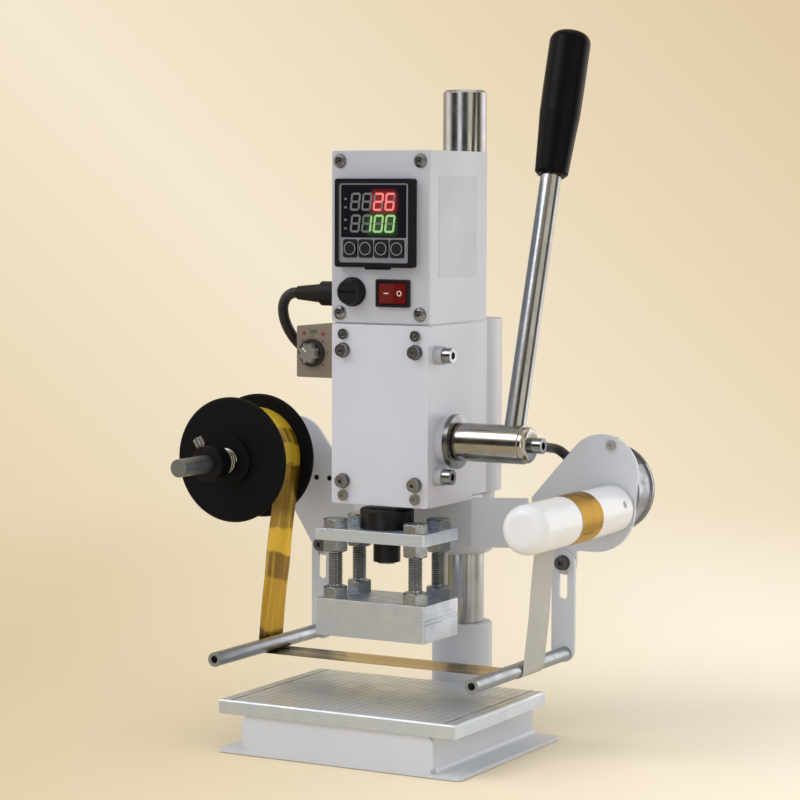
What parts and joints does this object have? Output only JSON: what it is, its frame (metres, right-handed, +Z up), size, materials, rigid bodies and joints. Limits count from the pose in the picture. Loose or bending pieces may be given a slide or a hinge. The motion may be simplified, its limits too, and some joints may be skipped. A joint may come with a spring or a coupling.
{
  "type": "hot foil stamping machine",
  "caption": "Bench hot foil stamping machine: lever, pinion and rack drive a heated block down on a table, with a foil reel, guide rods and a motor-driven take-up roller.",
  "frame": {"origin": "on the bench, under the ram axis", "axes": "+X towards the lever side, +Y to the back (column), +Z up"},
  "size_m": [0.2545, 0.186, 0.397],
  "materials": {
    "white_paint": "semi-gloss powder coat",
    "white_casting": "semi-gloss powder coat on cast aluminium",
    "panel_paint": "satin",
    "chrome": "polished",
    "steel": "satin",
    "motor_can": "zinc plated",
    "aluminium": "milled",
    "bronze": "plain",
    "black_plastic": "satin",
    "black_steel": "blackened",
    "grey_key": "matte",
    "red_plastic": "gloss",
    "tan_plastic": "matte",
    "dial_plastic": "matte",
    "black_rubber": "matte",
    "gold_foil": "metallised",
    "nylon": "satin"
  },
  "bodies": {
    "stand": {"base_shell": "white_paint", "work_table": "aluminium", "base_bolts": "steel", "column_seat": "white_paint", "column": "chrome"},
    "head": {"head_body": "white_casting", "front_cover": "white_paint", "cover_screws": "steel", "guide_screws": "chrome", "ram_gib": "bronze", "pivot_bushes": "steel", "clamp_screws": "steel", "foil_bracket": "white_paint", "bracket_screws": "steel", "arm_screws": "steel", "reel_shaft": "aluminium", "lock_collar": "black_plastic", "collar_screw": "chrome", "drag_spring": "chrome", "gear_motor": "motor_can", "foil_feed_strip": "gold_foil", "foil_span": "gold_foil", "foil_take_up_strip": "gold_foil", "control_box": "white_paint", "control_panel": "panel_paint", "panel_screws": "chrome", "controller_case": "black_plastic", "fuse_body": "black_plastic", "switch_frame": "black_plastic", "timer_case": "tan_plastic", "cable_glands": "black_plastic", "timer_cable": "black_rubber", "motor_cable": "black_rubber"},
    "lever": {"pinion_shaft": "steel", "lever_hub": "steel", "lever_rod": "chrome", "lever_grip": "black_rubber", "hub_screw": "chrome"},
    "press_ram": {"ram": "steel", "ram_collar": "black_steel", "upper_plate": "aluminium", "ram_nut": "black_steel", "block_bolts": "steel", "stud_nuts": "steel", "heater_block": "aluminium", "heater_cartridges": "steel"},
    "left_guide": {"left_arm": "white_paint", "left_rod": "aluminium"},
    "right_guide": {"right_arm": "white_paint", "right_rod": "aluminium"},
    "reel": {"reel_discs": "black_plastic", "foil_roll": "gold_foil"},
    "take_up": {"take_up_roller": "nylon"},
    "power_switch": {"switch_rocker": "red_plastic"},
    "set_key": {"set_button": "grey_key"},
    "shift_key": {"shift_button": "grey_key"},
    "down_key": {"down_button": "grey_key"},
    "up_key": {"up_button": "grey_key"},
    "timer_knob": {"timer_dial": "dial_plastic"},
    "fuse_lid": {"fuse_cap": "black_plastic"}
  },
  "joints": [
    {"name": "head_height", "type": "slide", "parent": "stand", "child": "head", "axis": [0, 0, 1], "range_m": [-0.012, 0.06]},
    {"name": "lever_pivot", "type": "hinge", "parent": "head", "child": "lever", "pos_m": [0, 0.0115, 0.171], "axis": [1, 0, 0], "range_deg": [0, 105]},
    {"name": "ram_slide", "type": "slide", "parent": "head", "child": "press_ram", "axis": [0, 0, -1], "range_m": [0, 0.0161]},
    {"name": "take_up_spin", "type": "hinge", "parent": "head", "child": "take_up", "pos_m": [0.107, 0, 0.133], "axis": [0, 1, 0], "continuous": true},
    {"name": "reel_spin", "type": "hinge", "parent": "head", "child": "reel", "pos_m": [-0.097, 0, 0.1555], "axis": [0, 1, 0], "continuous": true},
    {"name": "left_guide_slide", "type": "slide", "parent": "head", "child": "left_guide", "axis": [0, 0, 1], "range_m": [0, 0.016], "deforming": ["foil_feed_strip", "foil_span"]},
    {"name": "right_guide_slide", "type": "slide", "parent": "head", "child": "right_guide", "axis": [0, 0, 1], "range_m": [0, 0.016], "deforming": ["foil_take_up_strip", "foil_span"]},
    {"name": "power_rocker", "type": "hinge", "parent": "head", "child": "power_switch", "pos_m": [0.0088, -0.007, 0.2519], "axis": [0, 0, 1], "range_deg": [-18, 0]},
    {"name": "set_press", "type": "slide", "parent": "head", "child": "set_key", "axis": [0, 1, 0], "range_m": [0, 0.0008], "stiffness_N_per_m": 300, "springref_m": -0.0005},
    {"name": "shift_press", "type": "slide", "parent": "head", "child": "shift_key", "axis": [0, 1, 0], "range_m": [0, 0.0008], "stiffness_N_per_m": 300, "springref_m": -0.0005},
    {"name": "down_press", "type": "slide", "parent": "head", "child": "down_key", "axis": [0, 1, 0], "range_m": [0, 0.0008], "stiffness_N_per_m": 300, "springref_m": -0.0005},
    {"name": "up_press", "type": "slide", "parent": "head", "child": "up_key", "axis": [0, 1, 0], "range_m": [0, 0.0008], "stiffness_N_per_m": 300, "springref_m": -0.0005},
    {"name": "dial_turn", "type": "hinge", "parent": "head", "child": "timer_knob", "pos_m": [-0.04225, -0.009, 0.218], "axis": [0, 1, 0], "range_deg": [0, 270]},
    {"name": "fuse_twist", "type": "hinge", "parent": "head", "child": "fuse_lid", "pos_m": [-0.0165, -0.009, 0.2523], "axis": [0, -1, 0], "range_deg": [0, 45]}
  ],
  "couplings": [
    {"joint": "ram_slide", "follows": "lever_pivot", "m_per_rad": 0.00875},
    {"joint": "reel_spin", "follows": "take_up_spin", "ratio": 0.4804}
  ]
}
